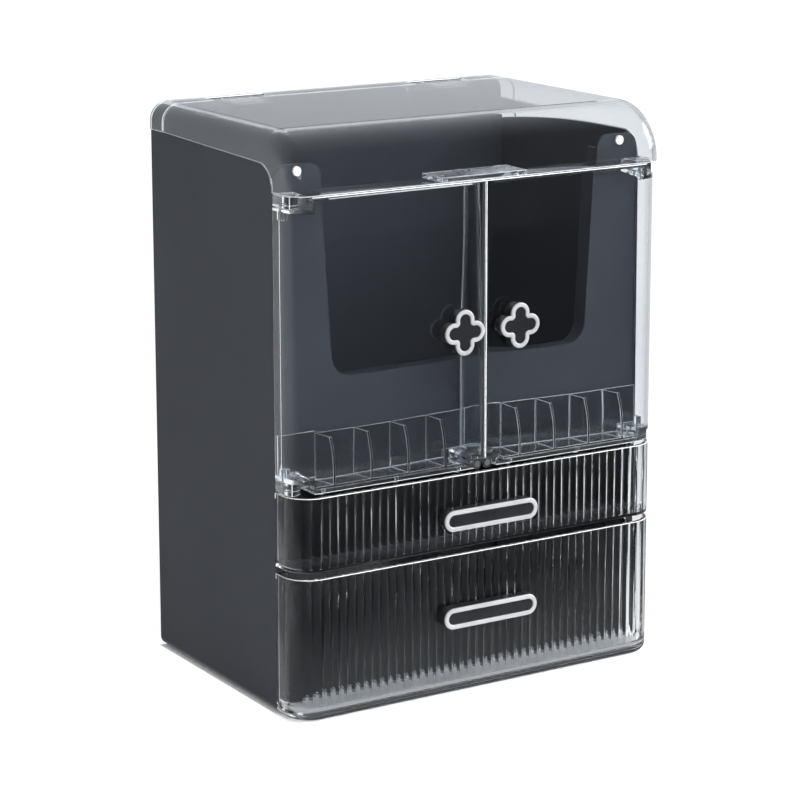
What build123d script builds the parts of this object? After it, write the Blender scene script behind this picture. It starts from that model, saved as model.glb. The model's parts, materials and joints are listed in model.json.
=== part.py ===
from build123d import *
import math
import os

# A tabletop make-up cabinet: a dark moulded case with a clear flip lid, two clear doors
# with lipstick racks, and two clear drawers with fluted fronts.
# X runs across the front, Y runs from front to back, Z is up, all in millimetres.
# The origin is on the table, under the middle of the whole cabinet.

# Overall sizes
width = 270.0
case_depth = 157.0
front_depth = 27.0
grip_depth = 8.5
height = 362.0

# Walls and clearances
case_wall = 2.6
clear_wall = 2.2
lid_wall = 2.4
seat_gap = 0.1
seam_gap = 0.4
pin_clearance = 0.05

# Outline radii
case_bottom_radius = 6.0
rear_edge_bevel = 1.5
lid_side_radius = 12.0
lid_inner_bevel = 5.6
lid_front_radius = 36.0
door_corner_radius = 18.0
drawer_corner_radius = 18.0
drawer_bottom_radius = 5.0

# Heights above the table
case_bottom = 0.8
drawer_bottom = 0.5
lower_front_height = 90.4
front_seam = 3.9
upper_front_height = 47.0
door_seam = 2.8
lid_height = 36.5
lid_seam = 0.6

# Side wall tops, which the lid skirt follows
skirt_corner_radius = 16.0
skirt_rise = 3.2

# Planes worked out from the sizes above
half = width / 2
front_face = (grip_depth - front_depth - case_depth) / 2
case_front = front_face + front_depth
case_rear = case_front + case_depth
case_middle = (case_front + case_rear) / 2
lower_front_top = drawer_bottom + lower_front_height
upper_front_bottom = lower_front_top + front_seam
upper_front_top = upper_front_bottom + upper_front_height
door_bottom = upper_front_top + door_seam
lid_sill = height - lid_height
door_top = lid_sill - lid_seam
door_height = door_top - door_bottom
side_top_front = lid_sill + skirt_corner_radius - lid_seam
side_top_rear = side_top_front + skirt_rise

# Rear rail and lid hinge
rail_depth = 17.0
hinge_to_rear = 7.0
hinge_drop = 2.2
hinge_barrel_radius = 2.3
hinge_pin_radius = 0.9
hinge_length = 40.5
hinge_from_side = 58.7
hinge_end_knuckle = 9.0
hinge_slot_margin = 0.6
hinge_plate = 1.8
hinge_rib_inset = 0.4
hinge_rise = 3.4
hinge_base_lap = 4.0
hinge_base_depth = 9.0
hinge_arm_lap = 12.0
hinge_y = case_rear - hinge_to_rear
hinge_z = height - hinge_drop
hinge_base_top = hinge_z - hinge_rise
hinge_x = half - hinge_from_side
rail_front = case_rear - rail_depth
lid_rear = rail_front - seam_gap
tongue_top = height - lid_wall - seam_gap
tongue_half_width = half - lid_wall - seam_gap

# Panels inside the case
panel_thickness = 2.8
ledge_width = 2.0
ledge_height = 3.0
shelf_drop = 0.6
floor_rise = 1.4
shelf_top = upper_front_bottom - shelf_drop
floor_top = door_bottom + floor_rise

# Front frame, a panel with a tapered cut-out that is open at the top
frame_thickness = 2.6
cutout_half_bottom = 94.0
cutout_half_top = 102.0
cutout_rise = 64.4
cutout_radius = 13.0
frame_flange_depth = 8.0
frame_flange_wall = 2.0
pillar_top_radius = 8.0
cutout_bottom = door_bottom + cutout_rise

# Feet and bumpers
foot_radius = 6.0
foot_inset = 16.0
bumper_radius = 3.0
bumper_thickness = 1.5
bumper_drop = 4.0
bumper_from_side = 17.0

# Door hinges: brackets on the case, vertical pins, bosses in the doors
door_rear_gap = 0.9
door_centre_gap = 0.6
door_pin_inset = 3.2
door_pin_forward = 8.0
door_pin_radius = 1.0
door_boss_radius = 3.0
door_boss_length = 7.0
door_pin_play = 0.3
corner_notch_width = 12.8
upper_notch_height = 7.9
lower_notch_height = 5.9
bracket_clearance = 0.4
bracket_inset = 0.6
bracket_roof = 1.0

# Catches at the middle of the doors
catch_notch_half = 8.4
catch_tube_radius = 3.4
catch_tube_spacing = 7.4
catch_magnet_radius = 2.1
catch_magnet_length = 10.0
catch_bar_length = 62.0
catch_bar_height = 3.0
catch_bar_inset = 0.1
catch_bar_rear_gap = 1.5
catch_plate_half = 8.0
catch_plate_rise = 5.4
catch_tube_rise = 1.6
catch_tube_front_gap = 3.0
lid_magnet_radius = 3.0
lid_magnet_inset = 5.0
lid_magnet_thickness = 2.0
strike_radius = 3.0
strike_thickness = 1.0
strike_x = 7.2

# Lipstick racks
rack_wall = 1.6
rack_height = 32.6
rack_end_pocket = 27.9
rack_dividers = 4
rack_top_depth = 16.0
rack_floor_depth = 21.0
rack_bow = 2.6
rack_bow_rise = 10.4
rack_peg_from_notch = 5.0
rack_middle_peg = 4.8
rack_last_peg = 2.1
rack_peg_radius = 1.5
rack_peg_below = 2.0
rack_peg_inset = 1.8

# Knobs, four-lobed
knob_span = 28.5
knob_lobe_radius = 6.6
knob_rim_width = 2.7
knob_rim_depth = 1.8
knob_x = 20.3
knob_drop = 1.05
knob_lobe_offset = knob_span / 2 - knob_lobe_radius
inlay_recess = 0.5

# Drawer fronts and bins
flute_pitch = 5.85
flute_rise = 1.1
corner_flutes = (11.25, 33.75)
front_floor = 4.3
drawer_return_gap = 0.6
bin_clearance = 0.5
bin_lift = 0.3
bin_rear_gap = 1.5
bin_drop = 6.0
bin_corner_radius = 3.0
handle_pad_radius = 4.5
handle_pad_height = 1.5

# Handles, stadium shaped
handle_length = 69.0
handle_height = 13.4
handle_rim_width = 2.9
handle_rim_depth = 1.8
handle_screw_spacing = 40.0
lower_handle_z = 52.5
upper_handle_z = 115.5

# Screws that hold the knobs and handles
screw_radius = 1.5
screw_head_radius = 3.0
screw_head_height = 1.8
screw_engagement = 5.0

# Sides of the straight-sided bars that stand for small round parts
flute_sides = 16
lobe_sides = 16
post_sides = 12

os.makedirs("parts", exist_ok=True)


def save(piece, name):
    piece.part.label = name
    export_step(piece.part, "parts/" + name + ".step")


def side_top_line(rise):
    """Draw the top edge of a side wall, front to rear, raised by a gap, as YZ points."""
    arc_middle = skirt_corner_radius * (1 - math.cos(math.radians(45)))
    arc_height = skirt_corner_radius * math.sin(math.radians(45))
    foot = side_top_front - skirt_corner_radius + rise
    ThreePointArc(
        (case_front, foot),
        (case_front + arc_middle, foot + arc_height),
        (case_front + skirt_corner_radius, side_top_front + rise),
    )
    Line(
        (case_front + skirt_corner_radius, side_top_front + rise),
        (case_rear, side_top_rear + rise),
    )


def arch(half_width, top, bottom, radius):
    """Draw a rectangle with two rounded top corners into the open sketch, as XZ points."""
    with BuildLine() as outline:
        Line((-half_width, bottom), (half_width, bottom))
        Line((half_width, bottom), (half_width, top - radius))
        Line((half_width - radius, top), (-half_width + radius, top))
        Line((-half_width, top - radius), (-half_width, bottom))
        CenterArc((half_width - radius, top - radius), radius, 0, 90)
        CenterArc((-half_width + radius, top - radius), radius, 90, 90)
    make_face(outline.edges())


# Case: bottom, side walls and rear wall in one moulding.
# The rear wall stands higher than the sides, as a tongue that the rear rail wraps round.
with BuildPart() as case_shell:
    with BuildSketch(Plane.XZ.offset(-case_rear)) as case_outline:
        with Locations((0, case_bottom)):
            Rectangle(width, tongue_top - case_bottom, align=(Align.CENTER, Align.MIN))
        fillet(case_outline.vertices().group_by(Axis.Y)[0], case_bottom_radius)
    extrude(amount=case_depth)
    chamfer(
        case_shell.faces().sort_by(Axis.Y)[-1].edges().filter_by(
            lambda edge: edge.center().Z < tongue_top - 1
        ),
        rear_edge_bevel,
    )
    with BuildSketch(Plane.XZ.offset(-case_rear + case_wall)) as case_inside:
        with Locations((0, case_bottom + case_wall)):
            Rectangle(width - 2 * case_wall, height, align=(Align.CENTER, Align.MIN))
        fillet(case_inside.vertices().group_by(Axis.Y)[0], case_bottom_radius - case_wall)
    extrude(amount=case_depth, mode=Mode.SUBTRACT)
    with BuildSketch(Plane.YZ) as above_sides:
        with BuildLine():
            side_top_line(0)
            Line((case_rear, side_top_rear), (case_rear, height))
            Line((case_rear, height), (case_front, height))
            Line((case_front, height), (case_front, side_top_front - skirt_corner_radius))
        make_face()
        with Locations((case_rear - case_wall, height / 2)):
            Rectangle(case_wall, 2 * height, align=(Align.MIN, Align.CENTER), mode=Mode.SUBTRACT)
    extrude(amount=half, both=True, mode=Mode.SUBTRACT)
    with BuildSketch(Plane.XZ.offset(-case_rear)):
        with Locations((0, side_top_rear)):
            Rectangle(width, height, align=(Align.CENTER, Align.MIN))
        with BuildSketch(mode=Mode.PRIVATE) as tongue:
            arch(tongue_half_width, tongue_top, side_top_rear, lid_side_radius - lid_wall)
        add(tongue.sketch, mode=Mode.SUBTRACT)
    extrude(amount=case_wall, mode=Mode.SUBTRACT)
    ledge_reach = ledge_width + case_wall / 2
    for panel_top in (shelf_top, floor_top):
        for side in (-1, 1):
            with Locations((
                side * (half - case_wall / 2 - ledge_reach / 2),
                case_middle,
                panel_top - panel_thickness - ledge_height / 2,
            )):
                Box(ledge_reach, case_depth - 2 * case_wall, ledge_height)
save(case_shell, "case_shell")

# Four thin rubber feet stuck under the case
with BuildPart() as rubber_feet:
    with BuildSketch():
        with Locations((0, case_middle)):
            with GridLocations(width - 2 * foot_inset, case_depth - 2 * foot_inset, 2, 2):
                RegularPolygon(foot_radius, post_sides)
    extrude(amount=case_bottom - seat_gap)
save(rubber_feet, "rubber_feet")

# Shelf between the drawers and floor of the upper compartment, on ledges of the case
panel_width = width - 2 * case_wall - 2 * seat_gap
for name, panel_top, panel_front in (
    ("drawer_shelf", shelf_top, case_front),
    ("compartment_floor", floor_top, case_front + frame_thickness + seat_gap),
):
    with BuildPart() as panel:
        with BuildSketch(Plane.XY.offset(panel_top - panel_thickness + seat_gap)):
            with Locations((0, panel_front)):
                Rectangle(
                    panel_width, case_rear - case_wall - seat_gap - panel_front,
                    align=(Align.CENTER, Align.MIN),
                )
        extrude(amount=panel_thickness - seat_gap)
    save(panel, name)


def cutout(grow):
    """Draw the tapered cut-out of the front frame, grown by a wall, as XZ points."""
    rise = (cutout_half_top - cutout_half_bottom) / (side_top_front - cutout_bottom)
    above = height - cutout_bottom
    with BuildLine() as outline:
        Polyline(
            (-cutout_half_bottom - grow - rise * above, height),
            (-cutout_half_bottom - grow, cutout_bottom - grow),
            (cutout_half_bottom + grow, cutout_bottom - grow),
            (cutout_half_bottom + grow + rise * above, height),
            close=True,
        )
    make_face(outline.edges())


# Front frame of the upper compartment
frame_half = half - case_wall - seat_gap
frame_bottom = upper_front_top + seam_gap
with BuildPart() as front_frame:
    with BuildSketch(Plane.XZ.offset(-case_front - frame_thickness)) as frame_face:
        arch(frame_half, side_top_front, frame_bottom, pillar_top_radius)
        with BuildSketch(mode=Mode.PRIVATE) as frame_opening:
            cutout(0)
            fillet(frame_opening.vertices().group_by(Axis.Y)[0], cutout_radius)
        add(frame_opening.sketch, mode=Mode.SUBTRACT)
        fillet(
            frame_face.vertices().filter_by(
                lambda corner: corner.Y > side_top_front - 1 and abs(corner.X) < cutout_half_top + 1
            ),
            pillar_top_radius,
        )
    extrude(amount=frame_thickness)
    with BuildSketch(Plane.XZ.offset(-case_front - frame_thickness)) as flange_face:
        cutout(frame_flange_wall)
        fillet(flange_face.vertices().group_by(Axis.Y)[0], cutout_radius + frame_flange_wall)
        with BuildSketch(mode=Mode.PRIVATE) as flange_opening:
            cutout(0)
            fillet(flange_opening.vertices().group_by(Axis.Y)[0], cutout_radius)
        add(flange_opening.sketch, mode=Mode.SUBTRACT)
        with Locations((0, side_top_front - pillar_top_radius)):
            Rectangle(width, height, align=(Align.CENTER, Align.MAX), mode=Mode.INTERSECT)
    extrude(amount=-frame_flange_depth)
save(front_frame, "front_frame")

# Soft bumpers on the two pillars of the front frame
with BuildPart() as lid_bumpers:
    for side in (-1, 1):
        with BuildSketch(Plane.XZ.offset(-case_front + seat_gap)):
            with Locations((side * (half - bumper_from_side), side_top_front - bumper_drop)):
                RegularPolygon(bumper_radius, post_sides)
        extrude(amount=bumper_thickness)
save(lid_bumpers, "lid_bumpers")

# Rear rail: a clear arch round the top of the rear wall, slotted for the lid hinges
with BuildPart() as rear_rail:
    with BuildSketch(Plane.XZ.offset(-case_rear)):
        arch(half, height, side_top_rear + seat_gap, lid_side_radius)
        with BuildSketch(mode=Mode.PRIVATE) as rail_inside:
            arch(half - lid_wall, height - lid_wall, 0, lid_side_radius - lid_wall)
        add(rail_inside.sketch, mode=Mode.SUBTRACT)
    extrude(amount=rail_depth)
    slot_rear = hinge_y + hinge_barrel_radius + hinge_slot_margin
    for side in (-1, 1):
        with Locations((side * hinge_x, slot_rear, height)):
            Box(
                hinge_length + 2 * hinge_slot_margin, rail_depth, 4 * hinge_barrel_radius,
                align=(Align.CENTER, Align.MAX, Align.CENTER), mode=Mode.SUBTRACT,
            )
save(rear_rail, "rear_rail")

hands = ((-1, "left"), (1, "right"))

# Lid hinges: a clear bracket under each slot of the rail, with two end knuckles
knuckle_centre = (hinge_length - hinge_end_knuckle) / 2
slot_half = hinge_length / 2 + hinge_slot_margin
hinge_base_half = slot_half + hinge_base_lap
hinge_base_rear = case_rear - case_wall - seam_gap
for side, hand in hands:
    with BuildPart() as rear_hinge:
        with Locations((side * hinge_x, hinge_base_rear, hinge_base_top)):
            Box(
                2 * hinge_base_half, hinge_base_depth, hinge_plate,
                align=(Align.CENTER, Align.MAX, Align.MAX),
            )
        for end in (-1, 1):
            with Locations((
                side * hinge_x + end * (slot_half + hinge_base_lap / 2),
                hinge_base_rear,
                hinge_base_top - hinge_plate,
            )):
                Box(
                    hinge_base_lap - 2 * seat_gap,
                    hinge_base_depth,
                    height - lid_wall - seat_gap - hinge_base_top + hinge_plate,
                    align=(Align.CENTER, Align.MAX, Align.MIN),
                )
            with Locations((side * hinge_x + end * knuckle_centre, hinge_y, hinge_base_top)):
                Box(
                    hinge_end_knuckle,
                    2 * (hinge_barrel_radius - hinge_rib_inset),
                    hinge_z - hinge_base_top,
                    align=(Align.CENTER, Align.CENTER, Align.MIN),
                )
            with BuildSketch(Plane.YZ.offset(side * hinge_x + end * knuckle_centre)):
                with Locations((hinge_y, hinge_z)):
                    RegularPolygon(hinge_barrel_radius, post_sides)
            extrude(amount=hinge_end_knuckle / 2, both=True)
        with BuildSketch(Plane.YZ.offset(side * hinge_x)):
            with Locations((hinge_y, hinge_z)):
                RegularPolygon(hinge_pin_radius + pin_clearance, post_sides)
        extrude(amount=hinge_length, both=True, mode=Mode.SUBTRACT)
    save(rear_hinge, "rear_hinge_" + hand)

# The pins of both lid hinges
with BuildPart() as lid_hinge_pins:
    for side, hand in hands:
        with BuildSketch(Plane.YZ.offset(side * hinge_x)):
            with Locations((hinge_y, hinge_z)):
                RegularPolygon(hinge_pin_radius, post_sides)
        extrude(amount=hinge_length / 2, both=True)
save(lid_hinge_pins, "lid_hinge_pins")

# Hinge arms under the rear edge of the lid, each with the middle knuckle of its hinge
arm_width = hinge_length - 2 * hinge_end_knuckle - 2 * seam_gap
for side, hand in hands:
    with BuildPart() as hinge_arm:
        with Locations((side * hinge_x, lid_rear - hinge_arm_lap, height - lid_wall - seat_gap)):
            Box(
                arm_width, hinge_y - lid_rear + hinge_arm_lap, hinge_plate,
                align=(Align.CENTER, Align.MIN, Align.MAX),
            )
        with BuildSketch(Plane.YZ.offset(side * hinge_x)):
            with Locations((hinge_y, hinge_z)):
                RegularPolygon(hinge_barrel_radius, post_sides)
        extrude(amount=arm_width / 2, both=True)
        with BuildSketch(Plane.YZ.offset(side * hinge_x)):
            with Locations((hinge_y, hinge_z)):
                RegularPolygon(hinge_pin_radius + pin_clearance, post_sides)
        extrude(amount=arm_width, both=True, mode=Mode.SUBTRACT)
    save(hinge_arm, "lid_hinge_arm_" + hand)


def lid_roof(inset, bottom):
    """Draw the front wall and top of the lid, front to rear, inset by a wall, as YZ points."""
    radius = lid_front_radius - inset
    bulge = radius * (1 - math.cos(math.radians(45)))
    front = front_face + inset
    top = height - inset
    Line((front, bottom), (front, top - radius))
    ThreePointArc((front, top - radius), (front + bulge, top - bulge), (front + radius, top))
    Line((front + radius, top), (case_rear, top))


def side_edges(piece, half_width):
    """Find the long edges that run over the lid along its two sides."""
    return piece.edges().filter_by(
        lambda edge: abs(abs(edge.center().X) - half_width) < 0.01
        and edge.center().Y < lid_rear - 1
        and (edge.center().Z > side_top_rear + 2 or edge.center().Y < front_face + 2 * lid_wall)
    )


# Lid: a curved front and top with side skirts, open below and behind
with BuildPart() as lid_inside:
    with BuildSketch(Plane.YZ):
        with BuildLine():
            lid_roof(lid_wall, upper_front_top)
            Line((case_rear, height - lid_wall), (case_rear, upper_front_top))
            Line((case_rear, upper_front_top), (front_face + lid_wall, upper_front_top))
        make_face()
    extrude(amount=half - lid_wall, both=True)
    chamfer(side_edges(lid_inside, half - lid_wall), lid_inner_bevel)
with BuildPart() as lid_cover:
    with BuildSketch(Plane.YZ):
        with BuildLine():
            lid_roof(0, lid_sill)
            Line((case_rear, height), (case_rear, side_top_rear + lid_seam))
            side_top_line(lid_seam)
            Line((case_front, lid_sill), (front_face, lid_sill))
        make_face()
        with Locations((lid_rear, height / 2)):
            Rectangle(case_depth, 2 * height, align=(Align.MIN, Align.CENTER), mode=Mode.SUBTRACT)
    extrude(amount=half, both=True)
    fillet(side_edges(lid_cover, half), lid_side_radius)
    add(lid_inside.part, mode=Mode.SUBTRACT)
save(lid_cover, "lid_cover")

# Catch bar inside the front of the lid, with a magnet at each end
catch_bar_front = front_face + lid_wall + catch_bar_inset
catch_bar_rear = case_front - catch_bar_rear_gap
catch_bar_y = (catch_bar_front + catch_bar_rear) / 2
lid_magnet_x = catch_bar_length / 2 - lid_magnet_inset
magnet_bottom = lid_sill + 2 * seat_gap
with BuildPart() as lid_catch_bar:
    with Locations((0, catch_bar_y, lid_sill + seat_gap)):
        Box(
            catch_bar_length, catch_bar_rear - catch_bar_front, catch_bar_height,
            align=(Align.CENTER, Align.CENTER, Align.MIN),
        )
    with BuildSketch(Plane.XY.offset(magnet_bottom + lid_magnet_thickness + seat_gap)):
        with Locations((0, catch_bar_y)):
            with GridLocations(2 * lid_magnet_x, 1, 2, 1):
                RegularPolygon(lid_magnet_radius + seat_gap, post_sides)
    extrude(amount=-catch_bar_height, mode=Mode.SUBTRACT)
save(lid_catch_bar, "lid_catch_bar")
with BuildPart() as lid_catch_magnets:
    with BuildSketch(Plane.XY.offset(magnet_bottom)):
        with Locations((0, catch_bar_y)):
            with GridLocations(2 * lid_magnet_x, 1, 2, 1):
                RegularPolygon(lid_magnet_radius, post_sides)
    extrude(amount=lid_magnet_thickness)
save(lid_catch_magnets, "lid_catch_magnets")

# Planes of the doors
door_rear = case_front - door_rear_gap
door_inner = door_centre_gap / 2
door_pin_x = half - door_pin_inset
door_pin_y = case_front - door_pin_forward
upper_notch_bottom = door_top - upper_notch_height
lower_notch_top = door_bottom + lower_notch_height


def corner_plan(side, inner, inset, rear):
    """Draw a plan from an inner end to an outer side with a round front corner, as XY points."""
    outer = half - inset
    front = front_face + inset
    radius = door_corner_radius - inset
    bulge = radius * (1 - math.cos(math.radians(45)))
    with BuildLine() as outline:
        Line((side * (outer - radius), front), (side * inner, front))
        Line((side * inner, front), (side * inner, rear))
        Line((side * inner, rear), (side * outer, rear))
        Line((side * outer, rear), (side * outer, front + radius))
        ThreePointArc(
            (side * outer, front + radius),
            (side * (outer - bulge), front + bulge),
            (side * (outer - radius), front),
        )
    make_face(outline.edges())


def cut_notches(side, wall):
    """Cut a door's outer corner notches and its half of the catch notch, grown by a wall."""
    for inner, outer, bottom, top in (
        (half - corner_notch_width - wall, width, upper_notch_bottom - wall, height),
        (half - corner_notch_width - wall, width, 0, lower_notch_top + wall),
        (-width, catch_notch_half + wall, 0, lower_notch_top + wall),
    ):
        with Locations((side * (inner + outer) / 2, front_face, (bottom + top) / 2)):
            Box(outer - inner, 4 * front_depth, top - bottom, mode=Mode.SUBTRACT)


# Doors: clear trays open to the rear, notched for the hinge brackets and the catch
rack_floor = door_bottom + clear_wall + seat_gap
rack_rear = door_rear - seat_gap
rack_front = rack_rear - rack_wall - rack_floor_depth
rack_notch_end = corner_notch_width + clear_wall + seam_gap
rack_pegs = (
    rack_notch_end + rack_peg_from_notch,
    half / 2 + rack_middle_peg,
    half - rack_notch_end - rack_last_peg,
)
knob_z = (door_bottom + door_top) / 2 - knob_drop
for side, hand in hands:
    with BuildPart() as door_inside:
        with BuildSketch(Plane.XY.offset(door_bottom + clear_wall)):
            corner_plan(side, door_inner + clear_wall, clear_wall, case_front)
        extrude(amount=door_height - 2 * clear_wall)
        cut_notches(side, clear_wall)
    with BuildPart() as door_panel:
        with BuildSketch(Plane.XY.offset(door_bottom)):
            corner_plan(side, door_inner, 0, door_rear)
        extrude(amount=door_height)
        add(door_inside.part, mode=Mode.SUBTRACT)
        cut_notches(side, 0)
        for boss_bottom in (upper_notch_bottom - door_boss_length, lower_notch_top):
            with BuildSketch(Plane.XY.offset(boss_bottom)):
                with Locations((side * door_pin_x, door_pin_y)):
                    RegularPolygon(door_boss_radius, post_sides)
            extrude(amount=door_boss_length)
            with BuildSketch(Plane.XY.offset(boss_bottom)):
                with Locations((side * door_pin_x, door_pin_y)):
                    RegularPolygon(door_pin_radius + pin_clearance, post_sides)
            extrude(amount=door_boss_length, mode=Mode.SUBTRACT)
        with BuildSketch(Plane.XZ.offset(-front_face)):
            with Locations((side * knob_x, knob_z)):
                RegularPolygon(screw_radius + seat_gap, post_sides)
        extrude(amount=-2 * clear_wall, mode=Mode.SUBTRACT)
        rack_start = min(side * half, 0)
        with BuildSketch(Plane.XY.offset(door_bottom)):
            for peg in rack_pegs:
                with Locations((rack_start + peg, rack_front + rack_peg_inset)):
                    RegularPolygon(rack_peg_radius + seat_gap, post_sides)
        extrude(amount=2 * clear_wall, mode=Mode.SUBTRACT)
    save(door_panel, hand + "_door_panel")

# Door hinge brackets on the front of the case, rounded about the pins
bracket_nose = corner_notch_width - door_pin_inset - bracket_clearance
lower_bracket_bottom = upper_front_top + bracket_inset
for side, hand in hands:
    for level, bottom, top, bore_bottom, bore_top in (
        (
            "upper", upper_notch_bottom + bracket_clearance, door_top,
            door_bottom, door_top - bracket_roof,
        ),
        (
            "lower", lower_bracket_bottom, lower_notch_top - bracket_clearance,
            lower_bracket_bottom + bracket_roof, door_top,
        ),
    ):
        with BuildPart() as bracket:
            with BuildSketch(Plane.XY.offset(bottom)):
                with Locations((side * door_pin_x, door_pin_y)):
                    RegularPolygon(bracket_nose, lobe_sides)
                with Locations((side * door_pin_x, case_front - seat_gap)):
                    Rectangle(
                        2 * bracket_nose, door_pin_forward - seat_gap,
                        align=(Align.CENTER, Align.MAX),
                    )
                with BuildSketch(mode=Mode.PRIVATE) as bracket_limit:
                    corner_plan(side, 0, bracket_inset, case_front - seat_gap)
                add(bracket_limit.sketch, mode=Mode.INTERSECT)
            extrude(amount=top - bottom)
            with BuildSketch(Plane.XY.offset(bore_bottom)):
                with Locations((side * door_pin_x, door_pin_y)):
                    RegularPolygon(door_pin_radius + pin_clearance, post_sides)
            extrude(amount=bore_top - bore_bottom, mode=Mode.SUBTRACT)
        save(bracket, "door_bracket_" + level + "_" + hand)

# The four door hinge pins
with BuildPart() as door_hinge_pins:
    for bottom, top in (
        (upper_notch_bottom - door_boss_length, door_top - bracket_roof),
        (lower_bracket_bottom + bracket_roof, lower_notch_top + door_boss_length),
    ):
        with BuildSketch(Plane.XY.offset(bottom + door_pin_play)):
            with Locations((0, door_pin_y)):
                with GridLocations(2 * door_pin_x, 1, 2, 1):
                    RegularPolygon(door_pin_radius, post_sides)
        extrude(amount=top - bottom - 2 * door_pin_play)
save(door_hinge_pins, "door_hinge_pins")

# Bottom catch: a plate on the frame with two magnet tubes that reach under the doors
catch_tube_front = front_face + catch_tube_front_gap
catch_tube_z = door_bottom + catch_tube_rise
catch_plate_front = case_front - seat_gap - clear_wall
with BuildPart() as bottom_catch:
    with BuildSketch(Plane.XZ.offset(-case_front + seat_gap)):
        with Locations((0, lower_bracket_bottom)):
            Rectangle(
                2 * catch_plate_half, door_bottom + catch_plate_rise - lower_bracket_bottom,
                align=(Align.CENTER, Align.MIN),
            )
    extrude(amount=clear_wall)
    with BuildSketch(Plane.XZ.offset(-catch_plate_front)):
        with Locations((0, catch_tube_z)):
            with GridLocations(catch_tube_spacing, 1, 2, 1):
                RegularPolygon(catch_tube_radius, lobe_sides)
    extrude(amount=catch_plate_front - catch_tube_front)
    with BuildSketch(Plane.XZ.offset(-catch_tube_front)):
        with Locations((0, catch_tube_z)):
            with GridLocations(catch_tube_spacing, 1, 2, 1):
                RegularPolygon(catch_magnet_radius + pin_clearance, post_sides)
    extrude(amount=seat_gap - catch_magnet_length, mode=Mode.SUBTRACT)
save(bottom_catch, "bottom_catch")
with BuildPart() as bottom_catch_magnets:
    with BuildSketch(Plane.XZ.offset(-catch_tube_front - seat_gap)):
        with Locations((0, catch_tube_z)):
            with GridLocations(catch_tube_spacing, 1, 2, 1):
                RegularPolygon(catch_magnet_radius, post_sides)
    extrude(amount=2 * seat_gap - catch_magnet_length)
save(bottom_catch_magnets, "bottom_catch_magnets")

# Steel strikes in the doors, below the lid magnets and above the tubes
strike_y = catch_tube_front + catch_magnet_length / 2
for side, hand in hands:
    with BuildPart() as door_strikes:
        for strike_centre, bottom in (
            ((side * lid_magnet_x, catch_bar_y), door_top - clear_wall - seat_gap - strike_thickness),
            ((side * strike_x, strike_y), lower_notch_top + clear_wall + seat_gap),
        ):
            with BuildSketch(Plane.XY.offset(bottom)):
                with Locations(strike_centre):
                    RegularPolygon(strike_radius, post_sides)
            extrude(amount=strike_thickness)
    save(door_strikes, hand + "_door_strikes")

# Lipstick racks: a floor, a back and four bowed dividers, pegged into the door floor
rack_top = door_bottom + rack_height
rack_inner_end = door_inner + clear_wall + seam_gap
rack_bow_bottom = door_bottom + rack_bow_rise
rack_pitch = (half - 2 * rack_end_pocket) / (rack_dividers - 1)
rack_back_face = rack_rear - rack_wall
for side, hand in hands:
    rack_start = min(side * half, 0)
    rack_middle = rack_start + half / 2
    with BuildPart() as door_rack:
        with BuildSketch(Plane.XZ.offset(-rack_rear)):
            with Locations((rack_middle, rack_top)):
                Rectangle(
                    half - 2 * rack_inner_end,
                    rack_top - lower_notch_top - clear_wall - seam_gap,
                    align=(Align.CENTER, Align.MAX),
                )
                Rectangle(
                    half - 2 * rack_notch_end, rack_top - rack_floor, align=(Align.CENTER, Align.MAX),
                )
        extrude(amount=rack_wall)
        with Locations((rack_middle, rack_rear, rack_floor)):
            Box(
                half - 2 * rack_notch_end, rack_rear - rack_front, rack_wall,
                align=(Align.CENTER, Align.MAX, Align.MIN),
            )
        for count in range(rack_dividers):
            with BuildSketch(Plane.YZ.offset(rack_start + rack_end_pocket + count * rack_pitch)):
                with BuildLine():
                    Line((rack_rear, rack_floor), (rack_rear, rack_top))
                    Line((rack_rear, rack_top), (rack_back_face - rack_top_depth, rack_top))
                    ThreePointArc(
                        (rack_back_face - rack_top_depth, rack_top),
                        (
                            rack_back_face - (rack_top_depth + rack_floor_depth) / 2 - rack_bow / 2,
                            (rack_top + rack_bow_bottom) / 2,
                        ),
                        (rack_front, rack_bow_bottom),
                    )
                    Line((rack_front, rack_bow_bottom), (rack_front, rack_floor))
                    Line((rack_front, rack_floor), (rack_rear, rack_floor))
                make_face()
            extrude(amount=rack_wall / 2, both=True)
        with BuildSketch(Plane.XY.offset(door_bottom - rack_peg_below)):
            for peg in rack_pegs:
                with Locations((rack_start + peg, rack_front + rack_peg_inset)):
                    RegularPolygon(rack_peg_radius, post_sides)
        extrude(amount=rack_floor - door_bottom + rack_peg_below + rack_wall / 2)
    save(door_rack, hand + "_door_rack")


def stadium(inset):
    """Draw the outline of a handle, inset by a rim."""
    straight = handle_length - handle_height
    Rectangle(straight, handle_height - 2 * inset)
    with GridLocations(straight, 1, 2, 1):
        RegularPolygon(handle_height / 2 - inset, lobe_sides)


def quatrefoil(inset):
    """Draw the four-lobed outline of a knob, inset by a rim."""
    reach = knob_lobe_offset
    cusp = (reach + math.sqrt(2 * knob_lobe_radius ** 2 - reach ** 2)) / 2
    lobes = [(reach, 0), (0, reach), (-reach, 0), (0, -reach)]
    cusps = [(cusp, cusp), (-cusp, cusp), (-cusp, -cusp), (cusp, -cusp)]
    Polygon(*[point for pair in zip(lobes, cusps) for point in pair], align=None)
    with Locations(*lobes):
        RegularPolygon(knob_lobe_radius - inset, lobe_sides)
    if inset > 0:
        with Locations(*cusps):
            RegularPolygon(inset, post_sides, mode=Mode.SUBTRACT)


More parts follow.
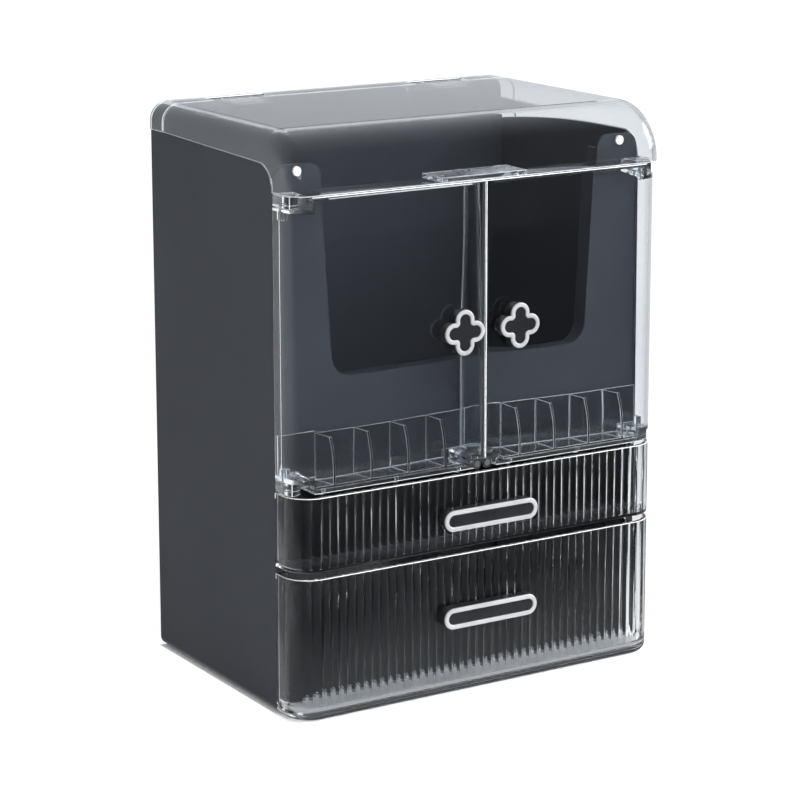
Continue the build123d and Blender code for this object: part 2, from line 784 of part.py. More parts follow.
def save_grip(name, outline, spot, screw_spots, depth, rim_width, rim_depth, screw_seat):
    """Build a knob or handle: a body, a bright rim, an inlay, and screws from behind."""
    rim_rear = front_face - depth + rim_depth - seat_gap
    with BuildPart() as grip_body:
        with BuildSketch(Plane.XZ.offset(-front_face + seat_gap)):
            with Locations(spot):
                outline(0)
        extrude(amount=depth - rim_depth - seat_gap)
        with BuildSketch(Plane.XZ.offset(-front_face + seat_gap)):
            with Locations(*screw_spots):
                RegularPolygon(screw_radius + pin_clearance, post_sides)
        extrude(amount=screw_engagement, mode=Mode.SUBTRACT)
    save(grip_body, name + "_body")
    with BuildPart() as grip_rim:
        with BuildSketch(Plane.XZ.offset(-rim_rear)):
            with Locations(spot):
                outline(0)
            with BuildSketch(mode=Mode.PRIVATE) as rim_hole:
                with Locations(spot):
                    outline(rim_width)
            add(rim_hole.sketch, mode=Mode.SUBTRACT)
        extrude(amount=rim_depth - seat_gap)
    save(grip_rim, name + "_rim")
    with BuildPart() as grip_inlay:
        with BuildSketch(Plane.XZ.offset(-rim_rear)):
            with Locations(spot):
                outline(rim_width + seat_gap)
        extrude(amount=rim_depth - seat_gap - inlay_recess)
    save(grip_inlay, name + "_inlay")
    with BuildPart() as grip_screws:
        with BuildSketch(Plane.XZ.offset(-screw_seat - screw_head_height)):
            with Locations(*screw_spots):
                RegularPolygon(screw_head_radius, post_sides)
        extrude(amount=screw_head_height)
        with BuildSketch(Plane.XZ.offset(-screw_seat)):
            with Locations(*screw_spots):
                RegularPolygon(screw_radius, post_sides)
        extrude(amount=screw_seat - front_face + screw_engagement - seat_gap)
    save(grip_screws, name + ("_screws" if len(screw_spots) > 1 else "_screw"))


# Door knobs
for side, hand in hands:
    knob_spot = (side * knob_x, knob_z)
    save_grip(
        hand + "_knob", quatrefoil, knob_spot, [knob_spot],
        grip_depth, knob_rim_width, knob_rim_depth, front_face + clear_wall + seat_gap,
    )

# Drawers: a clear front block, fluted inside its front wall, and a bin behind it
front_rear = case_front - drawer_return_gap
bin_half = half - case_wall - ledge_width - bin_clearance
bin_rear = case_rear - case_wall - bin_rear_gap
flute_radius = (flute_rise ** 2 + (flute_pitch / 2) ** 2) / (2 * flute_rise)
flute_offset = flute_radius - flute_rise
flute_count = round((width - 2 * drawer_corner_radius) / flute_pitch)
corner_x = half - drawer_corner_radius
corner_y = front_face + drawer_corner_radius
for level, bottom, tall, bin_bottom, handle_z in (
    ("lower", drawer_bottom, lower_front_height, case_bottom + case_wall + bin_lift, lower_handle_z),
    ("upper", upper_front_bottom, upper_front_height, upper_front_bottom + bin_lift, upper_handle_z),
):
    bin_height = bottom + tall - bin_drop - bin_bottom
    handle_spot = (0, handle_z)
    screw_spots = [(-handle_screw_spacing / 2, handle_z), (handle_screw_spacing / 2, handle_z)]
    with BuildPart() as drawer_bin:
        with BuildSketch(Plane.XY.offset(bottom)) as front_plan:
            with Locations((0, front_face)):
                Rectangle(width, front_rear - front_face, align=(Align.CENTER, Align.MIN))
            fillet(front_plan.vertices().group_by(Axis.Y)[0], drawer_corner_radius)
        extrude(amount=tall)
        fillet(
            drawer_bin.faces().sort_by(Axis.Z)[0].edges().filter_by(
                lambda edge: edge.center().Y < front_rear - 1
            ),
            drawer_bottom_radius,
        )
        with BuildSketch(Plane.XZ.offset(-bin_rear)) as bin_outline:
            with Locations((0, bin_bottom)):
                Rectangle(2 * bin_half, bin_height, align=(Align.CENTER, Align.MIN))
            fillet(bin_outline.vertices().group_by(Axis.Y)[0], bin_corner_radius)
        extrude(amount=bin_rear - front_rear + clear_wall / 2)
        with BuildSketch(Plane.XY.offset(bottom + front_floor)) as front_inside:
            with Locations((0, front_face + clear_wall)):
                Rectangle(
                    width - 2 * clear_wall, front_rear - front_face - 2 * clear_wall,
                    align=(Align.CENTER, Align.MIN),
                )
            fillet(front_inside.vertices().group_by(Axis.Y)[0], drawer_corner_radius - clear_wall)
            with Locations((0, front_face + clear_wall - flute_offset)):
                with GridLocations(flute_pitch, 1, flute_count, 1):
                    RegularPolygon(flute_radius, flute_sides, mode=Mode.SUBTRACT)
            turn_radius = drawer_corner_radius - clear_wall + flute_offset
            for side in (-1, 1):
                for turn in corner_flutes:
                    with Locations(Location(
                        (
                            side * (corner_x + turn_radius * math.sin(math.radians(turn))),
                            corner_y - turn_radius * math.cos(math.radians(turn)),
                        ),
                        side * turn,
                    )):
                        RegularPolygon(flute_radius, flute_sides, mode=Mode.SUBTRACT)
        extrude(amount=tall, mode=Mode.SUBTRACT)
        with BuildSketch(Plane.XZ.offset(-bin_rear + clear_wall)) as bin_inside:
            with Locations((0, bin_bottom + clear_wall)):
                Rectangle(2 * (bin_half - clear_wall), height, align=(Align.CENTER, Align.MIN))
            fillet(bin_inside.vertices().group_by(Axis.Y)[0], bin_corner_radius - clear_wall / 2)
        extrude(amount=bin_rear - front_rear + clear_wall / 2, mode=Mode.SUBTRACT)
        with BuildSketch(Plane.XZ.offset(-front_face - clear_wall - handle_pad_height)):
            with Locations(*screw_spots):
                RegularPolygon(handle_pad_radius, post_sides)
        extrude(amount=handle_pad_height + clear_wall / 2)
        with BuildSketch(Plane.XZ.offset(-front_face - clear_wall - handle_pad_height)):
            with Locations(*screw_spots):
                RegularPolygon(screw_radius + seat_gap, post_sides)
        extrude(amount=2 * front_depth, mode=Mode.SUBTRACT)
    save(drawer_bin, level + "_drawer_bin")
    save_grip(
        level + "_handle", stadium, handle_spot, screw_spots,
        grip_depth, handle_rim_width, handle_rim_depth,
        front_face + clear_wall + handle_pad_height + seat_gap,
    )
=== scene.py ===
import json
import math

import bmesh
import bpy
from mathutils import Matrix, Vector


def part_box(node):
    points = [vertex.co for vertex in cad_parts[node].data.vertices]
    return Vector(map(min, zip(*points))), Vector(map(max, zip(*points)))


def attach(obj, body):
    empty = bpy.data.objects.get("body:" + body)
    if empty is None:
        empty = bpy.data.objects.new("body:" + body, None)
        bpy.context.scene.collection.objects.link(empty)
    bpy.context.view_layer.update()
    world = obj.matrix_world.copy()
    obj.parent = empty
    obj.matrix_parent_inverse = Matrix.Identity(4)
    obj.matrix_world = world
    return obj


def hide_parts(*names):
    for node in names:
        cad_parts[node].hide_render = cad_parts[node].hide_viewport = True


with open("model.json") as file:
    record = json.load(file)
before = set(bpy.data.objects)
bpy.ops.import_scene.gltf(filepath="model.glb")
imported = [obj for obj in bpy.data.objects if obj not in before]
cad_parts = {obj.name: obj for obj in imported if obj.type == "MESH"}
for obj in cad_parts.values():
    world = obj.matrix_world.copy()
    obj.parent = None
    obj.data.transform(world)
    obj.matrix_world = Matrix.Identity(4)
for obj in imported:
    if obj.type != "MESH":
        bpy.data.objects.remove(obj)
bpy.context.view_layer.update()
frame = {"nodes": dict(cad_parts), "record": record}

# A tabletop make-up cabinet: clear lid, doors and drawers round a charcoal case.
# X runs to the right, Y to the rear and Z up. Sizes are in millimetres, and MM turns them to metres.

MM = 0.001
nodes = frame["nodes"]
record = frame["record"]
scene = bpy.context.scene
slot_of = {part["node"]: part["material_slot"] for part in record["subparts"]}
body_of = {node: body for body, members in record["behaviour"]["bodies"].items() for node in members}


def box_mm(name):
    """The lowest and highest corners of a CAD node, in millimetres."""
    low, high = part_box(name)
    return low / MM, high / MM


# Planes of the cabinet, read from the frame
case_low, case_high = box_mm("case_shell")
door_low, door_high = box_mm("left_door_panel")
lid_low, lid_high = box_mm("lid_cover")
half = case_high.x
front_face = door_low.y
case_front = case_low.y
clear_wall = 2.2
lid_wall = 2.4


def linear(code):
    """Turn an sRGB hex colour such as "#3d4045" into the linear colour that Blender uses."""
    channels = [int(code[start:start + 2], 16) / 255 for start in (1, 3, 5)]
    return (*(c / 12.92 if c <= 0.04045 else ((c + 0.055) / 1.055) ** 2.4 for c in channels), 1.0)


def add_node(tree, kind, inputs=None, **settings):
    """Add one node with its settings, and give each input a value or a link from a socket."""
    node = tree.nodes.new(kind)
    for name, value in settings.items():
        setattr(node, name, value)
    for name, value in (inputs or {}).items():
        if isinstance(value, bpy.types.NodeSocket):
            tree.links.new(node.inputs[name], value)
        else:
            node.inputs[name].default_value = value
    return node


# Finishes


def pattern_space(tree, size):
    """Object coordinates in which one unit of a pattern measures the given millimetres."""
    where = add_node(tree, "ShaderNodeTexCoord")
    per_metre = 1 / (size * MM)
    return add_node(
        tree, "ShaderNodeMapping",
        {"Vector": where.outputs["Object"], "Scale": (per_metre, per_metre, per_metre)},
    ).outputs["Vector"]


def drifting_colour(tree, size, first, second):
    """A colour that drifts slowly between two tints."""
    drift = add_node(
        tree, "ShaderNodeTexNoise", {"Vector": pattern_space(tree, size), "Scale": 1.0, "Detail": 2.0},
    )
    ramp = add_node(tree, "ShaderNodeValToRGB", {"Fac": drift.outputs["Fac"]})
    ramp.color_ramp.elements[0].position = 0.35
    ramp.color_ramp.elements[0].color = linear(first)
    ramp.color_ramp.elements[1].position = 0.65
    ramp.color_ramp.elements[1].color = linear(second)
    return ramp.outputs["Color"]


def scuffed(tree, size, smoothest, roughest):
    """A roughness that varies over fine scuffs."""
    scuffs = add_node(
        tree, "ShaderNodeTexNoise", {"Vector": pattern_space(tree, size), "Scale": 1.0, "Detail": 3.0},
    )
    return add_node(
        tree, "ShaderNodeMapRange",
        {
            "Value": scuffs.outputs["Fac"], "From Min": 0.35, "From Max": 0.75,
            "To Min": smoothest, "To Max": roughest,
        },
    ).outputs["Result"]


def wavy(tree, size, depth):
    """A bump of slow waves or of a fine grain, its depth in millimetres."""
    waves = add_node(
        tree, "ShaderNodeTexNoise", {"Vector": pattern_space(tree, size), "Scale": 1.0, "Detail": 1.0},
    )
    return add_node(
        tree, "ShaderNodeBump",
        {"Height": waves.outputs["Fac"], "Strength": 1.0, "Distance": depth * MM},
    ).outputs["Normal"]


def finish(name, tints, tint_size, roughness, scuff_size, wave_size, wave_depth, **plain):
    """One material: drifting colour, scuffed roughness, waved surface, and plain shader values.

    The sizes of its patterns and the depth of its waves are in millimetres.
    """
    material = bpy.data.materials.new(name)
    material.use_nodes = True
    tree = material.node_tree
    tree.nodes.clear()
    shader = add_node(
        tree, "ShaderNodeBsdfPrincipled",
        {
            "Base Color": drifting_colour(tree, tint_size, *tints),
            "Roughness": scuffed(tree, scuff_size, *roughness),
            "Normal": wavy(tree, wave_size, wave_depth),
            **{label.replace("_", " "): value for label, value in plain.items()},
        },
    )
    add_node(tree, "ShaderNodeOutputMaterial", {"Surface": shader.outputs["BSDF"]})
    return material


finishes = {
    # Injection-moulded clear polystyrene: water clear and glossy
    "clear_plastic": finish(
        "moulded_clear_polystyrene", tints=("#f4f7fa", "#fafcfe"), tint_size=120,
        roughness=(0.004, 0.02), scuff_size=4, wave_size=35, wave_depth=0.002,
        IOR=1.5, Transmission_Weight=1.0, Specular_IOR_Level=0.12,
    ),
    # The same plastic along its rounded edges, made pale and frosted: a painted highlight for the
    # bright lines that light makes along clear edges
    "clear_edge": finish(
        "moulded_polystyrene_edge", tints=("#eef1f4", "#f6f8fa"), tint_size=12,
        roughness=(0.25, 0.4), scuff_size=2, wave_size=6, wave_depth=0.005,
        IOR=1.5, Transmission_Weight=0.3,
    ),
    # Injection-moulded charcoal polystyrene: an even dark blue-grey with a soft gloss
    "dark_plastic": finish(
        "moulded_charcoal_polystyrene", tints=("#36393f", "#3a3d43"), tint_size=80,
        roughness=(0.3, 0.36), scuff_size=1.5, wave_size=50, wave_depth=0.01,
        IOR=1.5, Specular_IOR_Level=0.08,
    ),
    # Polished black ABS of the knobs and handles: nearly black, with a wet gloss
    "grip_black": finish(
        "polished_black_abs", tints=("#17181b", "#1b1c1f"), tint_size=20,
        roughness=(0.06, 0.12), scuff_size=0.8, wave_size=10, wave_depth=0.01,
        IOR=1.52,
    ),
    # Satin chrome plating on the rims: bright and slightly hazy
    "bright_rim": finish(
        "satin_chrome_plating", tints=("#d9dadd", "#e4e5e7"), tint_size=10,
        roughness=(0.3, 0.4), scuff_size=0.6, wave_size=4, wave_depth=0.01,
        Metallic=0.75,
    ),
    # Moulded rubber of the feet: matt, with a fine grain
    "rubber": finish(
        "moulded_black_rubber", tints=("#262627", "#2e2e2f"), tint_size=3,
        roughness=(0.7, 0.85), scuff_size=0.6, wave_size=0.8, wave_depth=0.04,
        IOR=1.5,
    ),
    # Cast silicone of the bumpers: white, soft and slightly see-through
    "soft_bumper": finish(
        "cast_white_silicone", tints=("#e6e7e8", "#efeff0"), tint_size=3,
        roughness=(0.4, 0.5), scuff_size=0.5, wave_size=2, wave_depth=0.01,
        IOR=1.41, Subsurface_Weight=0.2, Subsurface_Scale=0.001,
    ),
    # Zinc-plated steel of the screws, pins, strikes and magnets: pale and satin
    "steel": finish(
        "zinc_plated_steel", tints=("#9fa2a6", "#b4b7ba"), tint_size=4,
        roughness=(0.25, 0.4), scuff_size=0.5, wave_size=3, wave_depth=0.01,
        Metallic=1.0,
    ),
}

for name, node in nodes.items():
    node.data.materials.clear()
    node.data.materials.append(finishes[slot_of[name]])


# Building pieces

crease = 35


def new_piece(name, mesh):
    """Put a mesh in the scene as an object at the origin."""
    piece = bpy.data.objects.new(name, mesh)
    scene.collection.objects.link(piece)
    return piece


def clear_piece(name, mesh):
    """A piece of clear plastic, with a second surface for its rounded edges, pale as a painted
    highlight.
    """
    mesh.materials.append(finishes["clear_plastic"])
    mesh.materials.append(finishes["clear_edge"])
    return new_piece(name, mesh)


def stands_for(piece, *names):
    """Let a piece ride and be finished as the CAD nodes that it replaces.

    The rounded edges of clear plastic take the pale surface that paints a highlight along them.
    """
    if len(piece.data.materials) < 2:
        piece.data.materials.clear()
        piece.data.materials.append(finishes[slot_of[names[0]]])
    if slot_of[names[0]] == "clear_plastic" and "rounded_edges" in piece.modifiers:
        piece.data.materials.append(finishes["clear_edge"])
        piece.modifiers["rounded_edges"].material = 1
    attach(piece, body_of[names[0]])
    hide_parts(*names)


def shade(mesh, angle=crease):
    """Shade smoothly, with a crease wherever faces meet at more than an angle in degrees."""
    work = bmesh.new()
    work.from_mesh(mesh)
    for face in work.faces:
        face.smooth = True
    for edge in work.edges:
        edge.smooth = len(edge.link_faces) != 2 or edge.calc_face_angle(0) < math.radians(angle)
    work.to_mesh(mesh)
    work.free()


def round_edges(piece, radius):
    """Round every crease of a piece over by a small radius in millimetres."""
    bevel = piece.modifiers.new("rounded_edges", "BEVEL")
    bevel.width = radius * MM
    bevel.segments = 2
    bevel.limit_method = "ANGLE"
    bevel.angle_limit = math.radians(crease)
    bevel.miter_outer = "MITER_ARC"
    bevel.harden_normals = True


def moulding(name, radius):
    """Copy a CAD node as one closed mesh, round its edges over and let it stand for the node."""
    mesh = nodes[name].data.copy()
    work = bmesh.new()
    work.from_mesh(mesh)
    bmesh.ops.remove_doubles(work, verts=work.verts, dist=0.01 * MM)
    bmesh.ops.dissolve_limit(work, angle_limit=math.radians(0.5), verts=work.verts, edges=work.edges)
    work.to_mesh(mesh)
    work.free()
    shade(mesh)
    piece = new_piece(name + "_moulding", mesh)
    round_edges(piece, radius)
    stands_for(piece, name)


def arc(centre, radius, start, end, steps):
    """Points along an arc in the plane, from one angle in degrees to another."""
    angles = [math.radians(start + (end - start) * step / steps) for step in range(steps + 1)]
    return [(centre[0] + radius * math.cos(a), centre[1] + radius * math.sin(a)) for a in angles]


def prism(outline, low, high, axes):
    """A closed solid: an outline in millimetres pushed from low to high along the third axis.

    axes names the plane of the outline and then the direction of the push, as "XYZ" or "YZX".
    """
    order = ["XYZ".index(axis) for axis in axes]
    work = bmesh.new()
    rings = []
    for level in (low, high):
        ring = []
        for point in outline:
            place = [0, 0, 0]
            for index, value in zip(order, (*point, level)):
                place[index] = value * MM
            ring.append(work.verts.new(place))
        rings.append(ring)
    work.faces.new(rings[0])
    work.faces.new(rings[1])
    for count in range(len(outline)):
        after = (count + 1) % len(outline)
        work.faces.new((rings[0][count], rings[0][after], rings[1][after], rings[1][count]))
    bmesh.ops.recalc_face_normals(work, faces=work.faces)
    return work


def bevel_edges(work, chosen, radius, segments, surface=0):
    """Round the chosen edges of an open solid over by a radius in millimetres.

    The round takes the surface of that number: 0 is a piece's own, 1 the pale one that paints a
    highlight along the edges.
    """
    bmesh.ops.bevel(
        work, geom=[edge for edge in work.edges if chosen(edge)], material=surface,
        offset=radius * MM, offset_type="OFFSET", segments=segments, profile=0.5,
        affect="EDGES", clamp_overlap=False,
    )


def to_mesh(work, name):
    """Close an open solid into a mesh."""
    mesh = bpy.data.meshes.new(name)
    work.to_mesh(mesh)
    work.free()
    return mesh


def baked(piece):
    """Turn a piece with its modifiers into a plain mesh, and clear the modifiers."""
    graph = bpy.context.evaluated_depsgraph_get()
    mesh = bpy.data.meshes.new_from_object(piece.evaluated_get(graph))
    piece.modifiers.clear()
    piece.data = mesh


def combine(piece, operation, mesh):
    """Join a mesh to a piece, or cut the piece with it."""
    other = new_piece("cutter", mesh)
    change = piece.modifiers.new("combine", "BOOLEAN")
    change.operation = operation
    change.solver = "EXACT"
    change.object = other
    baked(piece)
    bpy.data.objects.remove(other)


# Fluted drawers, with fronts that have round corners and a round lower edge

overcut = 10.0
drawer_corner = 18.0
drawer_rim_round = 0.35
drawer_bottom_round = {"lower": 5.0, "upper": 1.2}
drawer_floor = {"lower": 4.3, "upper": 1.6}
hollow_round = {"lower": 8.0, "upper": 1.5}
front_depth = 26.4
bin_half = 129.9
bin_drop = 6.0
bin_lift = {"lower": 3.2, "upper": 0.3}
bin_round = 3.0
flute_pitch = 5.88
flute_rise = 0.66
fluted_half = 129.4
handle_z = {"lower": 52.5, "upper": 115.5}
screw_x = 20.0
screw_hole = 1.6
pad_radius = 4.5
pad_depth = 1.5


def fluted_cavity_tree():
    """The hollow of a drawer front: a plan with round front corners, its front in even flutes."""
    tree = bpy.data.node_groups.new("fluted_cavity", "GeometryNodeTree")
    tree.interface.new_socket(name="Geometry", in_out="INPUT", socket_type="NodeSocketGeometry")
    for label in (
        "Width", "Depth", "Corner", "Middle", "Bottom", "Height", "Pitch", "Rise", "Fluted Half",
    ):
        tree.interface.new_socket(name=label, in_out="INPUT", socket_type="NodeSocketFloat")
    tree.interface.new_socket(name="Material", in_out="INPUT", socket_type="NodeSocketMaterial")
    tree.interface.new_socket(name="Geometry", in_out="OUTPUT", socket_type="NodeSocketGeometry")
    given = add_node(tree, "NodeGroupInput").outputs

    # The plan, rounded at its two front corners only
    plan = add_node(
        tree, "GeometryNodeCurvePrimitiveQuadrilateral",
        {"Width": given["Width"], "Height": given["Depth"]},
    )
    place = add_node(tree, "GeometryNodeInputPosition").outputs["Position"]
    parts = add_node(tree, "ShaderNodeSeparateXYZ", {"Vector": place}).outputs
    in_front = add_node(tree, "ShaderNodeMath", {0: parts["Y"], 1: 0.0}, operation="LESS_THAN")
    corner = add_node(
        tree, "ShaderNodeMath",
        {0: in_front.outputs["Value"], 1: given["Corner"]}, operation="MULTIPLY",
    )
    rounded = add_node(
        tree, "GeometryNodeFilletCurve",
        {"Curve": plan.outputs["Curve"], "Count": 24, "Radius": corner.outputs["Value"]}, mode="POLY",
    )
    fine = add_node(
        tree, "GeometryNodeResampleCurve", {"Curve": rounded.outputs["Curve"], "Count": 1500},
    )

    # Distance along the front from its middle, round the corners
    half_width = add_node(tree, "ShaderNodeMath", {0: given["Width"], 1: 0.5}, operation="MULTIPLY")
    spine_end = add_node(
        tree, "ShaderNodeMath",
        {0: half_width.outputs["Value"], 1: given["Corner"]}, operation="SUBTRACT",
    ).outputs["Value"]
    half_depth = add_node(tree, "ShaderNodeMath", {0: given["Depth"], 1: -0.5}, operation="MULTIPLY")
    spine_y = add_node(
        tree, "ShaderNodeMath", {0: half_depth.outputs["Value"], 1: given["Corner"]}, operation="ADD",
    ).outputs["Value"]
    aside = add_node(tree, "ShaderNodeMath", {0: parts["X"]}, operation="ABSOLUTE").outputs["Value"]
    spine_x = add_node(
        tree, "ShaderNodeMath", {0: aside, 1: spine_end}, operation="MINIMUM",
    ).outputs["Value"]
    past = add_node(
        tree, "ShaderNodeMath", {0: aside, 1: spine_x}, operation="SUBTRACT",
    ).outputs["Value"]
    ahead = add_node(
        tree, "ShaderNodeMath", {0: spine_y, 1: parts["Y"]}, operation="SUBTRACT",
    ).outputs["Value"]
    turn = add_node(tree, "ShaderNodeMath", {0: past, 1: ahead}, operation="ARCTAN2")
    along = add_node(
        tree, "ShaderNodeMath",
        {0: turn.outputs["Value"], 1: given["Corner"], 2: spine_x}, operation="MULTIPLY_ADD",
    ).outputs["Value"]

    # Each flute is a shallow round of its pitch and rise
    turns = add_node(tree, "ShaderNodeMath", {0: along, 1: given["Pitch"]}, operation="DIVIDE")
    within = add_node(tree, "ShaderNodeMath", {0: turns.outputs["Value"]}, operation="FRACT")
    centred = add_node(
        tree, "ShaderNodeMath", {0: within.outputs["Value"], 1: 2.0, 2: -1.0}, operation="MULTIPLY_ADD",
    )
    squared = add_node(tree, "ShaderNodeMath", {0: centred.outputs["Value"], 1: 2.0}, operation="POWER")
    swell = add_node(
        tree, "ShaderNodeMath", {0: 1.0, 1: squared.outputs["Value"]}, operation="SUBTRACT",
    )
    deep = add_node(
        tree, "ShaderNodeMath", {0: swell.outputs["Value"], 1: given["Rise"]}, operation="MULTIPLY",
    )
    fluted = add_node(
        tree, "ShaderNodeMath", {0: along, 1: given["Fluted Half"]}, operation="LESS_THAN",
    )
    forward = add_node(tree, "ShaderNodeMath", {0: ahead, 1: 0.0}, operation="GREATER_THAN")
    on_front = add_node(
        tree, "ShaderNodeMath",
        {0: fluted.outputs["Value"], 1: forward.outputs["Value"]}, operation="MULTIPLY",
    )
    shift = add_node(
        tree, "ShaderNodeMath",
        {0: deep.outputs["Value"], 1: on_front.outputs["Value"]}, operation="MULTIPLY",
    )
    side = add_node(tree, "ShaderNodeMath", {0: parts["X"]}, operation="SIGN")
    outward_x = add_node(
        tree, "ShaderNodeMath", {0: past, 1: side.outputs["Value"]}, operation="MULTIPLY",
    )
    outward_y = add_node(tree, "ShaderNodeMath", {0: ahead, 1: -1.0}, operation="MULTIPLY")
    outward = add_node(
        tree, "ShaderNodeCombineXYZ",
        {"X": outward_x.outputs["Value"], "Y": outward_y.outputs["Value"]},
    )
    unit = add_node(tree, "ShaderNodeVectorMath", {0: outward.outputs["Vector"]}, operation="NORMALIZE")
    minus_shift = add_node(
        tree, "ShaderNodeMath", {0: shift.outputs["Value"], 1: -1.0}, operation="MULTIPLY",
    )
    offset = add_node(
        tree, "ShaderNodeVectorMath",
        {0: unit.outputs["Vector"], "Scale": minus_shift.outputs["Value"]}, operation="SCALE",
    )
    swollen = add_node(
        tree, "GeometryNodeSetPosition",
        {"Geometry": fine.outputs["Curve"], "Offset": offset.outputs["Vector"]},
    )

    # The plan as a face, pushed up into a closed solid at its place
    face = add_node(tree, "GeometryNodeFillCurve", {"Curve": swollen.outputs["Geometry"]}, mode="NGONS")
    up = add_node(tree, "ShaderNodeCombineXYZ", {"Z": given["Height"]})
    pushed = add_node(
        tree, "GeometryNodeExtrudeMesh",
        {
            "Mesh": face.outputs["Mesh"], "Offset": up.outputs["Vector"],
            "Offset Scale": 1.0, "Individual": False,
        },
        mode="FACES",
    )
    under = add_node(tree, "GeometryNodeFlipFaces", {"Mesh": face.outputs["Mesh"]})
    both = add_node(tree, "GeometryNodeJoinGeometry", {"Geometry": pushed.outputs["Mesh"]})
    tree.links.new(both.inputs["Geometry"], under.outputs["Mesh"])
    closed = add_node(
        tree, "GeometryNodeMergeByDistance",
        {"Geometry": both.outputs["Geometry"], "Distance": 0.01 * MM},
    )
    spot = add_node(tree, "ShaderNodeCombineXYZ", {"Y": given["Middle"], "Z": given["Bottom"]})
    moved = add_node(
        tree, "GeometryNodeTransform",
        {"Geometry": closed.outputs["Geometry"], "Translation": spot.outputs["Vector"]},
    )
    real = add_node(tree, "GeometryNodeRealizeInstances", {"Geometry": moved.outputs["Geometry"]})
    coated = add_node(
        tree, "GeometryNodeSetMaterial",
        {"Geometry": real.outputs["Geometry"], "Material": given["Material"]},
    )
    add_node(tree, "NodeGroupOutput", {"Geometry": coated.outputs["Geometry"]})
    return tree


flute_tree = fluted_cavity_tree()


def grown(tree, material, **sizes):
    """Run a tree on an empty piece with its named inputs, and return the mesh it makes."""
    piece = new_piece("grown", bpy.data.meshes.new("grown"))
    change = piece.modifiers.new("grow", "NODES")
    change.node_group = tree
    for socket in tree.interface.items_tree:
        label = socket.name.replace(" ", "_")
        if label in sizes:
            change[socket.identifier] = sizes[label]
        elif socket.name == "Material":
            change[socket.identifier] = material
    baked(piece)
    mesh = piece.data
    bpy.data.objects.remove(piece)
    return mesh


def front_block(low, high, low_round, inset):
    """A drawer front's block, or its hollow at an inset: round corners, rounded bottom edge."""
    turn = half - drawer_corner
    rear = front_face + front_depth - inset
    outline = (
        [(inset - half, rear)]
        + arc((-turn, front_face + drawer_corner), drawer_corner - inset, 180, 270, 20)
        + arc((turn, front_face + drawer_corner), drawer_corner - inset, 270, 360, 20)
        + [(half - inset, rear)]
    )
    work = prism(outline, low, high, "XYZ")
    behind = (rear - 0.01) * MM
    bevel_edges(
        work, lambda edge: all(v.co.z < (low + 0.01) * MM for v in edge.verts)
        and any(v.co.y < behind for v in edge.verts), low_round, 8,
    )
    # The top rim's round takes the pale surface, a painted highlight along the rim
    bevel_edges(
        work, lambda edge: all(v.co.z > (high - 0.01) * MM for v in edge.verts)
        and any(v.co.y < behind for v in edge.verts), drawer_rim_round, 2, surface=1,
    )
    return to_mesh(work, "front_block")


def bin_solid(half_width, low, high, front, rear, radius):
    """A long box with two rounded lower edges, as the bin's outside or its hollow."""
    turn = half_width - radius
    outline = (
        [(half_width, high), (-half_width, high)]
        + arc((-turn, low + radius), radius, 180, 270, 6)
        + arc((turn, low + radius), radius, 270, 360, 6)
    )
    return to_mesh(prism(outline, front, rear, "XZY"), "bin_solid")


def disc(x, z, radius, front, rear):
    """A round bar along Y."""
    return to_mesh(prism(arc((x, z), radius, 0, 352.5, 47), front, rear, "XZY"), "disc")


for level in ("lower", "upper"):
    low, high = box_mm(level + "_drawer_bin")
    rear = front_face + front_depth
    bin_low = low.z + bin_lift[level]
    bin_rear = high.y
    hollow_low = low.z + drawer_floor[level]
    drawer = clear_piece(
        level + "_drawer", front_block(low.z, high.z, drawer_bottom_round[level], 0),
    )
    combine(
        drawer, "UNION",
        bin_solid(bin_half, bin_low, high.z - bin_drop, rear - 1, bin_rear, bin_round),
    )
    cavity = grown(
        flute_tree, finishes["clear_plastic"],
        Width=2 * (half - clear_wall) * MM, Depth=(front_depth - 2 * clear_wall) * MM,
        Corner=(drawer_corner - clear_wall) * MM,
        Middle=(front_face + front_depth / 2) * MM,
        Bottom=hollow_low * MM, Height=(high.z - low.z) * MM,
        Pitch=flute_pitch * MM, Rise=flute_rise * MM, Fluted_Half=fluted_half * MM,
    )
    cavity_piece = new_piece("cavity", cavity)
    combine(
        cavity_piece, "INTERSECT",
        front_block(hollow_low, high.z + overcut, hollow_round[level], clear_wall - 0.01),
    )
    combine(drawer, "DIFFERENCE", cavity_piece.data)
    bpy.data.objects.remove(cavity_piece)
    combine(
        drawer, "DIFFERENCE",
        bin_solid(
            bin_half - clear_wall, bin_low + clear_wall, high.z + overcut,
            rear - 1.5 * clear_wall, bin_rear - clear_wall, bin_round - clear_wall / 2,
        ),
    )
    pad_front = front_face + clear_wall / 2
    for x in (-screw_x, screw_x):
        combine(
            drawer, "UNION",
            disc(x, handle_z[level], pad_radius, pad_front, front_face + clear_wall + pad_depth),
        )
        combine(
            drawer, "DIFFERENCE",
            disc(x, handle_z[level], screw_hole, front_face - 1, front_face + overcut),
        )
    shade(drawer.data, 30)
    stands_for(drawer, level + "_drawer_bin")

# Knobs and handles: curves with a rounded section

knob_reach = 14.25
knob_lobe = 6.6
knob_rim_width = 2.7
handle_half_length = 34.5
handle_half_height = 6.7
handle_rim_width = 2.9


